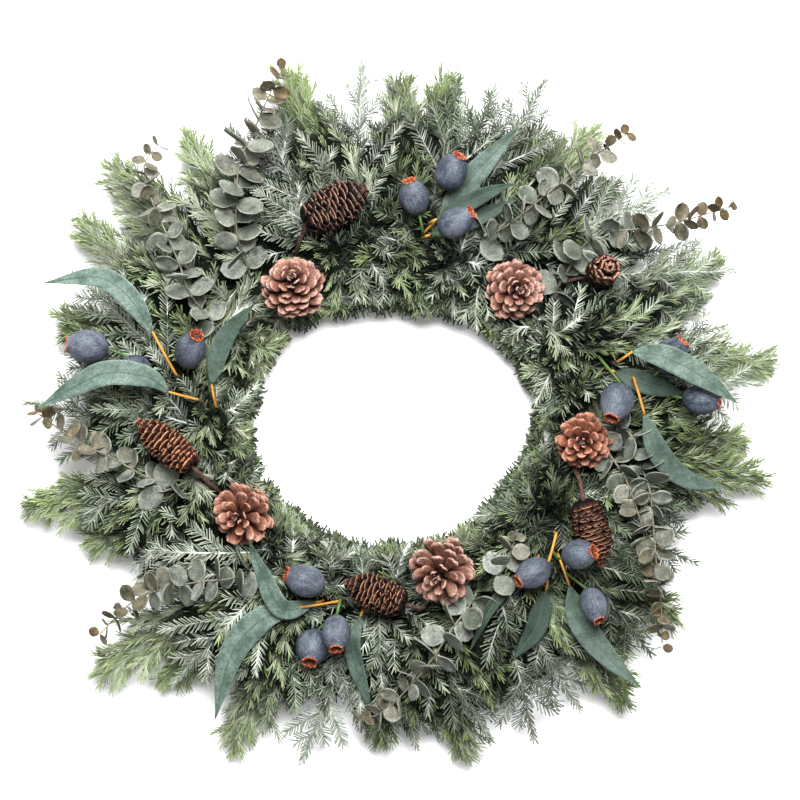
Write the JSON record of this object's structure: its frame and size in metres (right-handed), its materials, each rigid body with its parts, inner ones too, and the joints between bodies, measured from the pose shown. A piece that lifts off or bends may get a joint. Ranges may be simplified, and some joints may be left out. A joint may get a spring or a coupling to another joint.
{
  "type": "wreath",
  "caption": "Round evergreen wreath on a twisted vine ring, with pine cones, dark berries on leafy picks, eucalyptus, spruce and cedar.",
  "frame": {"origin": "middle of the bounding box at the level that the wreath rests on", "axes": "+Z out of the front of the wreath, up as it lies on its back; +X along its widest span, to the viewer's right; +Y to the top of the picture"},
  "size_m": [0.6144, 0.5736, 0.0966],
  "materials": {
    "vine": "dry vine bark",
    "cone": "open cone scales, matte",
    "dark_cone": "dark cone scales with tan edges, matte",
    "leaf": "fresh blue-green leaf, satin",
    "berry": "dark blue fruit with a dusty bloom",
    "eucalyptus": "waxy grey-green leaf",
    "spruce": "blue-green needles with pale frosting",
    "cedar": "soft yellow-green foliage"
  },
  "bodies": {
    "root": {"vine_ring": "vine", "pine_cone_a": "cone", "pine_cone_b": "cone", "pine_cone_c": "cone", "pine_cone_d": "cone", "pine_cone_e": "cone", "long_cone_a": "dark_cone", "long_cone_b": "dark_cone", "long_cone_c": "dark_cone", "long_cone_d": "dark_cone", "long_cone_e": "dark_cone", "berry_pick_a": "leaf", "berry_pick_b": "leaf", "berry_pick_c": "leaf", "berry_pick_d": "leaf", "berry_pick_e": "leaf", "berry_a1": "berry", "berry_a2": "berry", "berry_a3": "berry", "berry_b1": "berry", "berry_b2": "berry", "berry_b3": "berry", "berry_c1": "berry", "berry_c2": "berry", "berry_c3": "berry", "berry_d1": "berry", "berry_d2": "berry", "berry_d3": "berry", "berry_e1": "berry", "berry_e2": "berry", "berry_e3": "berry", "eucalyptus_a": "eucalyptus", "eucalyptus_b": "eucalyptus", "eucalyptus_c": "eucalyptus", "eucalyptus_d": "eucalyptus", "eucalyptus_e": "eucalyptus", "eucalyptus_f": "eucalyptus", "eucalyptus_g": "eucalyptus", "eucalyptus_h": "eucalyptus", "spruce_a": "spruce", "spruce_b": "spruce", "spruce_c": "spruce", "spruce_d": "spruce", "spruce_e": "spruce", "spruce_f": "spruce", "spruce_g": "spruce", "spruce_h": "spruce", "spruce_i": "spruce", "cedar_a": "cedar", "cedar_b": "cedar", "cedar_c": "cedar", "cedar_d": "cedar", "cedar_e": "cedar", "cedar_f": "cedar", "cedar_g": "cedar", "cedar_h": "cedar", "cedar_i": "cedar", "cedar_j": "cedar"}
  },
  "joints": []
}
